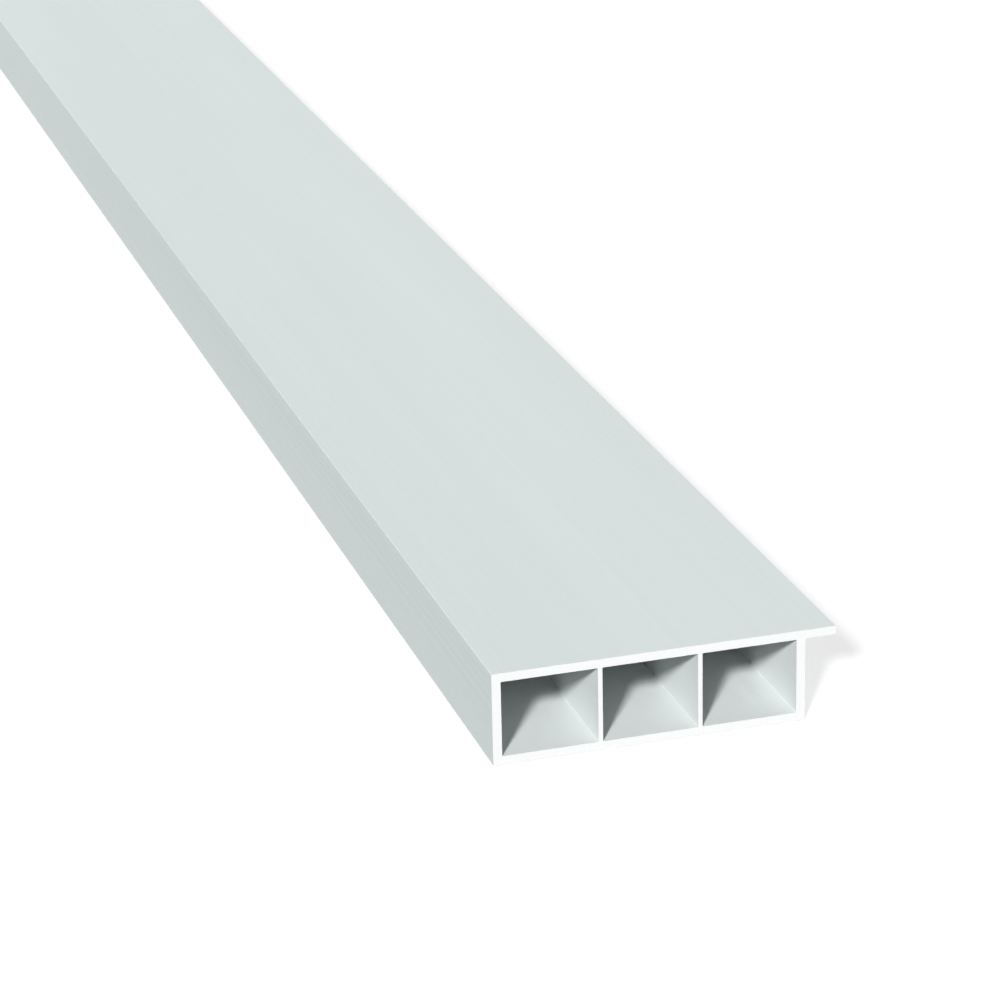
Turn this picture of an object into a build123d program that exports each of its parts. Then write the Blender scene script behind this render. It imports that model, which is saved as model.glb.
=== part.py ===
"""A length of hollow extruded PVC window trim.

The section is a flat box of equal chambers, parted by thin webs. The wall of its show face
runs on past one side of the box as a lip, which laps over the edge of the window frame. The
section runs unchanged from one square saw cut to the other.

Frame: +Y along the trim, +Z from the back face to the show face, the lip towards +X. The
origin lies on the back face's plane, under the middle of the part's own box.
"""

import os

from build123d import *

# Driving dimensions, in millimetres
LENGTH = 2133.6  # one 7 ft length of stock
BOX_WIDTH = 63.5  # the hollow box, 2 1/2 in, without the lip
THICKNESS = 19.05  # back face to show face, 3/4 in
LIP_REACH = 6.35  # how far the lip stands out from the box, 1/4 in
WALL = 1.8  # the box's four walls, and the lip, which is the show wall running on
WEB = 0.9  # webs between the chambers
CHAMBER_COUNT = 3
EDGE_RADIUS = 0.2  # outer corners, as the die leaves them
ROOT_RADIUS = 0.15  # inner corners: the chambers' corners and the root of the lip

# Places across the section, from the driving dimensions
left_side = -(BOX_WIDTH + LIP_REACH) / 2
box_side = left_side + BOX_WIDTH
lip_edge = box_side + LIP_REACH
lip_underside = THICKNESS - WALL
box_middle = (left_side + box_side) / 2

chamber_width = (BOX_WIDTH - 2 * WALL - (CHAMBER_COUNT - 1) * WEB) / CHAMBER_COUNT
chamber_height = THICKNESS - 2 * WALL
chamber_pitch = chamber_width + WEB

# The lip's two outer corners share one wall, so each radius stays under half of it
edge_radius = min(EDGE_RADIUS, 0.45 * WALL)
root_radius = min(ROOT_RADIUS, 0.45 * chamber_width, 0.45 * chamber_height)

with BuildPart() as trim_profile:
    with BuildSketch(Plane.XZ) as section:
        # Outline of the box and its lip
        with BuildLine():
            Polyline(
                (left_side, 0),
                (box_side, 0),
                (box_side, lip_underside),
                (lip_edge, lip_underside),
                (lip_edge, THICKNESS),
                (left_side, THICKNESS),
                close=True,
            )
        make_face()
        corners = section.vertices().sort_by_distance((box_side, lip_underside))
        fillet(corners[1:], edge_radius)
        lip_root = section.vertices().sort_by_distance((box_side, lip_underside))[0]
        fillet(lip_root, root_radius)

        # Chambers, side by side across the box
        with Locations((box_middle, THICKNESS / 2)):
            with GridLocations(chamber_pitch, 0, CHAMBER_COUNT, 1):
                RectangleRounded(chamber_width, chamber_height, root_radius, mode=Mode.SUBTRACT)
    extrude(amount=LENGTH / 2, both=True)

trim_profile.part.label = "trim_profile"
os.makedirs("parts", exist_ok=True)
export_step(trim_profile.part, "parts/trim_profile.step")
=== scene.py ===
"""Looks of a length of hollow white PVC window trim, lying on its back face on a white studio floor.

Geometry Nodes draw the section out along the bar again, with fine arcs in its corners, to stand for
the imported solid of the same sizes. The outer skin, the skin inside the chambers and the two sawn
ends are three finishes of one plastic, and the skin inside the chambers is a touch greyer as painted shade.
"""

import math

import bpy
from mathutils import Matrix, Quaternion, Vector


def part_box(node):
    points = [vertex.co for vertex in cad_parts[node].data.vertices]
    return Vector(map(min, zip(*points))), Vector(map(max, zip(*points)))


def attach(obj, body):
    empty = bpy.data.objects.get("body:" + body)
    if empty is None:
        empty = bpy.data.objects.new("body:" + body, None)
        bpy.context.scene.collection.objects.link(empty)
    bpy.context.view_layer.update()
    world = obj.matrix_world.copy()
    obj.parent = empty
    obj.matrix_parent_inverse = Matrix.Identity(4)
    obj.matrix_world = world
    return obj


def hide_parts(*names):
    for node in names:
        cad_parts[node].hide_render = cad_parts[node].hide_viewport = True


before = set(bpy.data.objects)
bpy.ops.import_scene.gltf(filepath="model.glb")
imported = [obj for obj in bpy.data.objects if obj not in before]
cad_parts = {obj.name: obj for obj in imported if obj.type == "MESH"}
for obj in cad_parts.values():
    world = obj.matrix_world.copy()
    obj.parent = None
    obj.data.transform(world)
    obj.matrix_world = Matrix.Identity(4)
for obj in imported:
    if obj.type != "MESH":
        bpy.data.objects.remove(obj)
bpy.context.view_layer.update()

MM = 0.001  # metres

# Sizes of the section that the frame's box doesn't give
LIP_REACH = 6.35 * MM
WALL = 1.8 * MM
WEB = 0.9 * MM
CHAMBER_COUNT = 3
EDGE_RADIUS = 0.2 * MM
ROOT_RADIUS = 0.15 * MM

# How finely the mesh is made
ARC_POINTS = 8
WELD_DISTANCE = 0.001 * MM
SHARP_ANGLE = math.radians(40)

# Places across the section, with x to the lip and z up from the back face
lowest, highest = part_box("trim_profile")
length = highest.y - lowest.y
thickness = highest.z - lowest.z
left_side = lowest.x
lip_edge = highest.x
box_side = lip_edge - LIP_REACH
lip_underside = highest.z - WALL
chamber_width = (box_side - left_side - 2 * WALL - (CHAMBER_COUNT - 1) * WEB) / CHAMBER_COUNT
chamber_height = thickness - 2 * WALL
chamber_pitch = chamber_width + WEB
first_chamber = left_side + WALL + chamber_width / 2


def linear(hex_colour):
    """An sRGB hex colour as the linear RGBA that a shader takes."""
    shares = [int(hex_colour[place : place + 2], 16) / 255 for place in (1, 3, 5)]
    return [*(s / 12.92 if s <= 0.04045 else ((s + 0.055) / 1.055) ** 2.4 for s in shares), 1.0]


def add(tree, kind, inputs=None, **settings):
    """Adds a node with its settings. An input, by name or number, is a value or the socket that feeds it."""
    node = tree.nodes.new(kind)
    for name, value in settings.items():
        setattr(node, name, value)
    for name, value in (inputs or {}).items():
        if isinstance(value, bpy.types.NodeSocket):
            tree.links.new(value, node.inputs[name])
        else:
            node.inputs[name].default_value = value
    return node


MIX_A, MIX_B, MIX_RESULT = 6, 7, 2  # the colour sockets of a Mix node


def new_material(name):
    """A material with an empty node tree."""
    material = bpy.data.materials.new(name)
    material.use_nodes = True
    material.node_tree.nodes.clear()
    return material, material.node_tree


# Materials: three finishes of one rigid PVC, with painted shade in the chambers' greyer tone

PVC_IOR = 1.53


def show_as_pvc(tree, colour, roughness, pattern, relief):
    """Ends a finish's tree in the plastic itself, with the pattern standing out by relief."""
    raised = add(tree, "ShaderNodeBump", {"Strength": 1.0, "Distance": relief, "Height": pattern})
    plastic = add(tree, "ShaderNodeBsdfPrincipled", {
        "Base Color": colour,
        "Roughness": roughness,
        "IOR": PVC_IOR,
        "Normal": raised.outputs["Normal"],
    })
    add(tree, "ShaderNodeOutputMaterial", {"Surface": plastic.outputs["BSDF"]})


def sized_pvc_skin():
    """The outer skin, drawn through a cooled sizing sleeve.

    To the eye: an even, cool white with a dull satin gloss, and faint straight lines along the bar
    where the die and the sleeve dragged on the hot plastic. Real lines lie some tenths of a
    millimetre apart, too fine to show from here, so they are drawn wider apart and deeper.
    """
    line_pitch = 1.2 * MM
    line_run = 700 * MM
    line_height = 0.1 * MM
    drift_width = 25 * MM
    drift_run = 300 * MM
    material, tree = new_material("sized_pvc_skin")
    place = add(tree, "ShaderNodeTexCoord").outputs["Object"]
    drawn = add(tree, "ShaderNodeMapping", {
        "Vector": place,
        "Scale": (1 / line_pitch, 1 / line_run, 1 / line_pitch),
    })
    lines = add(tree, "ShaderNodeTexNoise", {
        "Vector": drawn.outputs["Vector"],
        "Scale": 1.0,
        "Detail": 3.0,
        "Roughness": 0.6,
    })
    wide = add(tree, "ShaderNodeMapping", {
        "Vector": place,
        "Scale": (1 / drift_width, 1 / drift_run, 1 / drift_width),
    })
    drift = add(tree, "ShaderNodeTexNoise", {
        "Vector": wide.outputs["Vector"],
        "Scale": 1.0,
        "Detail": 2.0,
    })
    streaks = add(tree, "ShaderNodeMix", {
        "Factor": 0.5,
        "A": drift.outputs["Fac"],
        "B": lines.outputs["Fac"],
    })
    tone = add(tree, "ShaderNodeMix", {
        "Factor": streaks.outputs["Result"],
        MIX_A: linear("#CFD9D8"),
        MIX_B: linear("#DDE6E5"),
    }, data_type="RGBA")
    satin = add(tree, "ShaderNodeMapRange", {
        "Value": lines.outputs["Fac"],
        "To Min": 0.6,
        "To Max": 0.72,
    })
    show_as_pvc(
        tree,
        colour=tone.outputs[MIX_RESULT],
        roughness=satin.outputs["Result"],
        pattern=lines.outputs["Fac"],
        relief=line_height,
    )
    return material


def chamber_pvc_skin():
    """The skin inside the chambers, which cooled in air with nothing to smooth it.

    To the eye: the same white, a touch glossier, with slow shallow waves along the bar. Its tone is a
    touch greyer than the outer skin's, which is painted shade that holds down light bouncing in the
    chambers.
    """
    wave_width = 5 * MM
    wave_run = 35 * MM
    wave_height = 0.2 * MM
    material, tree = new_material("chamber_pvc_skin")
    place = add(tree, "ShaderNodeTexCoord").outputs["Object"]
    drawn = add(tree, "ShaderNodeMapping", {
        "Vector": place,
        "Scale": (1 / wave_width, 1 / wave_run, 1 / wave_width),
    })
    waves = add(tree, "ShaderNodeTexNoise", {
        "Vector": drawn.outputs["Vector"],
        "Scale": 1.0,
        "Detail": 3.0,
    })
    # painted shade: this tone is greyer than the outer skin's, so that the chambers' insides read darker
    tone = add(tree, "ShaderNodeMix", {
        "Factor": waves.outputs["Fac"],
        MIX_A: linear("#D3D8D8"),
        MIX_B: linear("#D8DDDD"),
    }, data_type="RGBA")
    satin = add(tree, "ShaderNodeMapRange", {
        "Value": waves.outputs["Fac"],
        "To Min": 0.55,
        "To Max": 0.68,
    })
    show_as_pvc(
        tree,
        colour=tone.outputs[MIX_RESULT],
        roughness=satin.outputs["Result"],
        pattern=waves.outputs["Fac"],
        relief=wave_height,
    )
    return material


def sawn_pvc():
    """The two ends, cut square by a circular saw that came down from above.

    To the eye: matt and a more neutral white than the skin, because the cut is finely torn, with faint
    arcs where the blade's teeth passed. Teeth leave marks about 0.1 mm apart, too fine to show, so
    the arcs are drawn wider apart.
    """
    blade_middle = Vector((-12, 0, 130)) * MM
    mark_pitch = 0.7 * MM
    mark_height = 0.006 * MM
    tear_size = 0.5 * MM
    rings_per_unit = 20 / (2 * math.pi)  # of the wave texture, at a scale of 1
    material, tree = new_material("sawn_pvc")
    place = add(tree, "ShaderNodeTexCoord").outputs["Object"]
    from_blade = add(tree, "ShaderNodeMapping", {"Vector": place, "Location": -blade_middle})
    marks = add(tree, "ShaderNodeTexWave", {
        "Vector": from_blade.outputs["Vector"],
        "Scale": 1 / (mark_pitch * rings_per_unit),
        "Distortion": 1.5,
        "Detail": 2.0,
        "Detail Scale": 1.0,
    }, wave_type="RINGS", rings_direction="Y")
    tears = add(tree, "ShaderNodeTexNoise", {
        "Vector": place,
        "Scale": 1 / tear_size,
        "Detail": 4.0,
    })
    torn = add(tree, "ShaderNodeMath", {
        0: marks.outputs["Fac"],
        1: tears.outputs["Fac"],
    }, operation="ADD")
    tone = add(tree, "ShaderNodeMix", {
        "Factor": tears.outputs["Fac"],
        MIX_A: linear("#D8D9D9"),
        MIX_B: linear("#DFE0E0"),
    }, data_type="RGBA")
    show_as_pvc(
        tree,
        colour=tone.outputs[MIX_RESULT],
        roughness=0.7,
        pattern=torn.outputs["Value"],
        relief=mark_height,
    )
    return material


# The bar: its section, drawn out by Geometry Nodes

RADIUS_NAME = "corner_radius"


def section_outline():
    """The box and its lip as six corners in the XY plane, each with the radius that rounds it.

    They are taken clockwise, so that the walls drawn from them face outwards.
    """
    corners = [
        (left_side, lowest.z, EDGE_RADIUS),
        (left_side, highest.z, EDGE_RADIUS),
        (lip_edge, highest.z, EDGE_RADIUS),
        (lip_edge, lip_underside, EDGE_RADIUS),
        (box_side, lip_underside, ROOT_RADIUS),
        (box_side, lowest.z, EDGE_RADIUS),
    ]
    count = len(corners)
    outline = bpy.data.meshes.new("section_outline")
    outline.from_pydata(
        [(across, up, 0.0) for across, up, radius in corners],
        [(number, (number + 1) % count) for number in range(count)],
        [],
    )
    radii = outline.attributes.new(RADIUS_NAME, "FLOAT", "POINT")
    radii.data.foreach_set("value", [radius for across, up, radius in corners])
    return outline


def extrusion_tree(skin, chamber_skin, sawn):
    """Rounds the outline, adds the row of chambers, and draws both out along Y into one closed bar."""
    tree = bpy.data.node_groups.new("trim_extrusion", "GeometryNodeTree")
    for name, kind in {
        "Outline": "Geometry",
        "Length": "Float",
        "Chamber count": "Int",
        "Chamber width": "Float",
        "Chamber height": "Float",
        "Chamber radius": "Float",
        "Chamber pitch": "Float",
        "First chamber": "Vector",
        "Arc points": "Int",
    }.items():
        tree.interface.new_socket(name, in_out="INPUT", socket_type="NodeSocket" + kind)
    tree.interface.new_socket("Bar", in_out="OUTPUT", socket_type="NodeSocketGeometry")
    given = add(tree, "NodeGroupInput").outputs

    # The outline with its corners rounded
    outline = add(tree, "GeometryNodeMeshToCurve", {"Mesh": given["Outline"]})
    radius = add(tree, "GeometryNodeInputNamedAttribute", {"Name": RADIUS_NAME}, data_type="FLOAT")
    rounded = add(tree, "GeometryNodeFilletCurve", {
        "Curve": outline.outputs["Curve"],
        "Count": given["Arc points"],
        "Radius": radius.outputs["Attribute"],
    }, mode="POLY")

    # The row of chambers
    opening = add(tree, "GeometryNodeCurvePrimitiveQuadrilateral", {
        "Width": given["Chamber width"],
        "Height": given["Chamber height"],
    })
    rounded_opening = add(tree, "GeometryNodeFilletCurve", {
        "Curve": opening.outputs["Curve"],
        "Count": given["Arc points"],
        "Radius": given["Chamber radius"],
    }, mode="POLY")
    step = add(tree, "ShaderNodeCombineXYZ", {"X": given["Chamber pitch"]})
    row = add(tree, "GeometryNodeMeshLine", {
        "Count": given["Chamber count"],
        "Start Location": given["First chamber"],
        "Offset": step.outputs["Vector"],
    })
    repeated = add(tree, "GeometryNodeInstanceOnPoints", {
        "Points": row.outputs["Mesh"],
        "Instance": rounded_opening.outputs["Curve"],
    })
    chambers = add(tree, "GeometryNodeRealizeInstances", {"Geometry": repeated.outputs["Instances"]})

    # Walls: the lines of the section, drawn out by the length
    drawn_out = add(tree, "ShaderNodeCombineXYZ", {"Z": given["Length"]})
    walls = []
    for lines in (rounded.outputs["Curve"], chambers.outputs["Geometry"]):
        edges = add(tree, "GeometryNodeCurveToMesh", {"Curve": lines})
        sheet = add(tree, "GeometryNodeExtrudeMesh", {
            "Mesh": edges.outputs["Mesh"],
            "Offset": drawn_out.outputs["Vector"],
            "Offset Scale": 1.0,
        }, mode="EDGES")
        walls.append(sheet.outputs["Mesh"])
    outer_walls, chamber_walls = walls

    # Ends: the section filled in around its chambers
    section = add(tree, "GeometryNodeJoinGeometry")
    tree.links.new(rounded.outputs["Curve"], section.inputs["Geometry"])
    tree.links.new(chambers.outputs["Geometry"], section.inputs["Geometry"])
    filled = add(tree, "GeometryNodeFillCurve", {"Curve": section.outputs["Geometry"]}, mode="TRIANGLES")
    far_end = add(tree, "GeometryNodeFlipFaces", {"Mesh": filled.outputs["Mesh"]})
    near_end = add(tree, "GeometryNodeTransform", {
        "Geometry": filled.outputs["Mesh"],
        "Translation": drawn_out.outputs["Vector"],
    })

    # One closed bar: what isn't outer skin is marked with its finish, and the cut edges stay crisp
    bar = add(tree, "GeometryNodeJoinGeometry")
    tree.links.new(outer_walls, bar.inputs["Geometry"])
    for surface, finish in (
        (chamber_walls, chamber_skin),
        (far_end.outputs["Mesh"], sawn),
        (near_end.outputs["Geometry"], sawn),
    ):
        marked = add(tree, "GeometryNodeStoreNamedAttribute", {
            "Geometry": surface,
            "Name": finish.name,
            "Value": True,
        }, data_type="BOOLEAN", domain="FACE")
        tree.links.new(marked.outputs["Geometry"], bar.inputs["Geometry"])
    welded = add(tree, "GeometryNodeMergeByDistance", {
        "Geometry": bar.outputs["Geometry"],
        "Distance": WELD_DISTANCE,
    })
    bend = add(tree, "GeometryNodeInputMeshEdgeAngle")
    cut_edge = add(tree, "FunctionNodeCompare", {
        "A": bend.outputs["Unsigned Angle"],
        "B": SHARP_ANGLE,
    }, operation="GREATER_THAN")
    crisp = add(tree, "GeometryNodeSetShadeSmooth", {
        "Geometry": welded.outputs["Geometry"],
        "Selection": cut_edge.outputs["Result"],
        "Shade Smooth": False,
    }, domain="EDGE")

    # So far the bar stands on its far end: it is laid down along Y, about its middle
    place = add(tree, "GeometryNodeInputPosition")
    standing = add(tree, "ShaderNodeSeparateXYZ", {"Vector": place.outputs["Position"]})
    half = add(tree, "ShaderNodeMath", {0: given["Length"], 1: 0.5}, operation="MULTIPLY")
    along = add(tree, "ShaderNodeMath", {
        0: half.outputs["Value"],
        1: standing.outputs["Z"],
    }, operation="SUBTRACT")
    lying = add(tree, "ShaderNodeCombineXYZ", {
        "X": standing.outputs["X"],
        "Y": along.outputs["Value"],
        "Z": standing.outputs["Y"],
    })
    laid = add(tree, "GeometryNodeSetPosition", {
        "Geometry": crisp.outputs["Geometry"],
        "Position": lying.outputs["Vector"],
    })

    # Plain mesh, with the outer skin all over and then the finishes that were marked
    plain = add(tree, "GeometryNodeRealizeInstances", {"Geometry": laid.outputs["Geometry"]})
    shape = add(tree, "GeometryNodeSetMaterial", {
        "Geometry": plain.outputs["Geometry"],
        "Material": skin,
    })
    for finish in (chamber_skin, sawn):
        mark = add(tree, "GeometryNodeInputNamedAttribute", {"Name": finish.name}, data_type="BOOLEAN")
        shape = add(tree, "GeometryNodeSetMaterial", {
            "Geometry": shape.outputs["Geometry"],
            "Selection": mark.outputs["Attribute"],
            "Material": finish,
        })
    add(tree, "NodeGroupOutput", {"Bar": shape.outputs["Geometry"]})
    return tree


def lay_out_bake_map(mesh):
    """Gives the mesh the UV map that its patterns are baked through.

    At one even scale the sawn ends would be a few pixels beside the length of the bar. So the ends lie
    in two bands across the map, and the walls stand side by side above them, shortened far more than
    they are narrowed.
    """
    end_band = 0.2
    end_margin = 0.01
    chamber_share = 0.5  # of their width: the chambers' walls hardly show
    gap = 1.5 * MM
    bake_map = mesh.uv_layers.new(name="OFBake").uv
    size = highest - lowest
    starts = {}
    walls = []
    used = 0.0
    for face in mesh.polygons:
        facing = max(range(3), key=lambda axis: abs(face.normal[axis]))
        forward = face.normal[facing] > 0
        corners = {n: mesh.vertices[mesh.loops[n].vertex_index].co - lowest for n in face.loop_indices}
        if facing == 1:
            for number, corner in corners.items():
                up = end_margin + (end_band - 2 * end_margin) * corner.z / size.z
                bake_map[number].vector = (corner.x / size.x, up + end_band * forward)
            continue
        across = 2 if facing == 0 else 0
        finish = mesh.materials[face.material_index].name
        in_chamber = finish == "chamber_pvc_skin"
        chamber = int((face.center.x - left_side) / chamber_pitch) if in_chamber and across == 2 else 0
        share = chamber_share if in_chamber else 1.0
        strip = (finish, facing, forward, chamber)
        if strip not in starts:
            starts[strip] = used
            used += share * size[across] + gap
        for number, corner in corners.items():
            walls.append((number, starts[strip] + share * corner[across], corner.y / size.y))
    for number, across, along in walls:
        bake_map[number].vector = (across / used, 2 * end_band + (1 - 2 * end_band) * along)


def window_trim():
    """The whole bar as one closed mesh.

    Weighted normals keep its flat faces flat beside their rounded edges.
    """
    bar = bpy.data.objects.new("window_trim", section_outline())
    bpy.context.scene.collection.objects.link(bar)
    extrusion = bar.modifiers.new("extrusion", "NODES")
    extrusion.node_group = extrusion_tree(sized_pvc_skin(), chamber_pvc_skin(), sawn_pvc())
    sizes = {
        "Length": length,
        "Chamber count": CHAMBER_COUNT,
        "Chamber width": chamber_width,
        "Chamber height": chamber_height,
        "Chamber radius": ROOT_RADIUS,
        "Chamber pitch": chamber_pitch,
        "First chamber": (first_chamber, lowest.z + thickness / 2, 0.0),
        "Arc points": ARC_POINTS,
    }
    for socket in extrusion.node_group.interface.items_tree:
        if socket.name in sizes:
            extrusion[socket.identifier] = sizes[socket.name]
    flat_faces = bar.modifiers.new("flat_faces", "WEIGHTED_NORMAL")
    flat_faces.weight = 100
    flat_faces.keep_sharp = True
    finished = bar.evaluated_get(bpy.context.evaluated_depsgraph_get())
    mesh = bpy.data.meshes.new_from_object(finished)
    bar.modifiers.clear()
    bar.data = mesh
    mesh.name = "window_trim"
    mesh.materials.pop(index=0)  # an empty slot, from before the tree set any material
    lay_out_bake_map(mesh)
    return bar


trim = window_trim()
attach(trim, "root")
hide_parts("trim_profile")


# Studio: a white floor that keeps the bar's shadow, three lamps, a low even light and the camera


def seen_directly(tree):
    """1 for what the camera, a reflection or glass sees, and 0 for light on its way to the bar."""
    ray = add(tree, "ShaderNodeLightPath").outputs
    mirrored = add(tree, "ShaderNodeMath", {
        0: ray["Is Glossy Ray"],
        1: ray["Is Transmission Ray"],
    }, operation="MAXIMUM")
    seen = add(tree, "ShaderNodeMath", {
        0: ray["Is Camera Ray"],
        1: mirrored.outputs["Value"],
    }, operation="MAXIMUM")
    return seen.outputs["Value"]


def studio_floor():
    """A floor that shows white where the lamps reach it and pale grey in the bar's shadow."""
    half_side = 40.0
    under = lowest.z - 0.1 * MM  # clear of the back face, so that the two never coincide
    material, tree = new_material("white_studio_floor")
    glow = add(tree, "ShaderNodeEmission", {"Color": linear("#FFFFFF"), "Strength": 0.7})
    lit = add(tree, "ShaderNodeBsdfDiffuse", {"Color": linear("#9C9C9C")})
    white = add(tree, "ShaderNodeAddShader", {0: glow.outputs["Emission"], 1: lit.outputs["BSDF"]})
    bounce = add(tree, "ShaderNodeBsdfDiffuse", {"Color": linear("#646464")})
    shown = add(tree, "ShaderNodeMixShader", {
        "Fac": seen_directly(tree),
        1: bounce.outputs["BSDF"],
        2: white.outputs["Shader"],
    })
    add(tree, "ShaderNodeOutputMaterial", {"Surface": shown.outputs["Shader"]})
    mesh = bpy.data.meshes.new("studio_floor")
    corners = [(-1, -1), (1, -1), (1, 1), (-1, 1)]
    mesh.from_pydata([(x * half_side, y * half_side, under) for x, y in corners], [], [(0, 1, 2, 3)])
    mesh.materials.append(material)
    floor = bpy.data.objects.new("studio_floor", mesh)
    bpy.context.scene.collection.objects.link(floor)


def studio_world():
    """A low even light from all round, which shows as white."""
    world = bpy.data.worlds.new("studio")
    world.use_nodes = True
    tree = world.node_tree
    tree.nodes.clear()
    even = add(tree, "ShaderNodeBackground", {"Color": linear("#FFFFFF"), "Strength": 0.105})
    white = add(tree, "ShaderNodeBackground", {"Color": linear("#FFFFFF"), "Strength": 1.0})
    shown = add(tree, "ShaderNodeMixShader", {
        "Fac": seen_directly(tree),
        1: even.outputs["Background"],
        2: white.outputs["Background"],
    })
    add(tree, "ShaderNodeOutputWorld", {"Surface": shown.outputs["Shader"]})
    bpy.context.scene.world = world


def lamp(name, travel, strength, width):
    """A far lamp whose light goes along travel.

    A strength of 1 shows a colour as it is where the light meets it square on, and width, in degrees,
    softens the shadows. The lamp itself isn't mirrored, because seen from behind its glare would
    bleach the bar's top.
    """
    light = bpy.data.lights.new(name, "SUN")
    light.energy = strength * math.pi
    light.angle = math.radians(width)
    holder = bpy.data.objects.new(name, light)
    holder.rotation_mode = "QUATERNION"
    holder.rotation_quaternion = Vector(travel).to_track_quat("-Z", "Y")
    holder.visible_glossy = False
    bpy.context.scene.collection.objects.link(holder)


def camera():
    """The photograph's camera, worked out from the corners of the cut end and the four long edges."""
    eye_from_near_corner = Vector((-165.0, -572.2, 282.5)) * MM
    azimuth = math.radians(-16.32)
    elevation = math.radians(20.968)
    roll = math.radians(1.339)
    view = bpy.data.cameras.new("camera")
    view.angle = math.radians(16.502)
    holder = bpy.data.objects.new("camera", view)
    holder.location = lowest + eye_from_near_corner
    level = math.cos(elevation)
    gaze = Vector((-math.sin(azimuth) * level, math.cos(azimuth) * level, -math.sin(elevation)))
    holder.rotation_mode = "QUATERNION"
    holder.rotation_quaternion = gaze.to_track_quat("-Z", "Y") @ Quaternion((0, 0, 1), -roll)
    bpy.context.scene.collection.objects.link(holder)
    bpy.context.scene.camera = holder


studio_floor()
studio_world()
lamp("key", travel=(0.615, 1.0, -0.668), strength=1.47, width=6)
lamp("front", travel=(0.08, 0.93, -0.358), strength=0.17, width=20)  # into the chambers' shade
lamp("fill", travel=(-0.8, -0.7, -0.11), strength=0.75, width=10)  # on the lip's side and the far end
camera()
bpy.context.scene.view_settings.view_transform = "Standard"
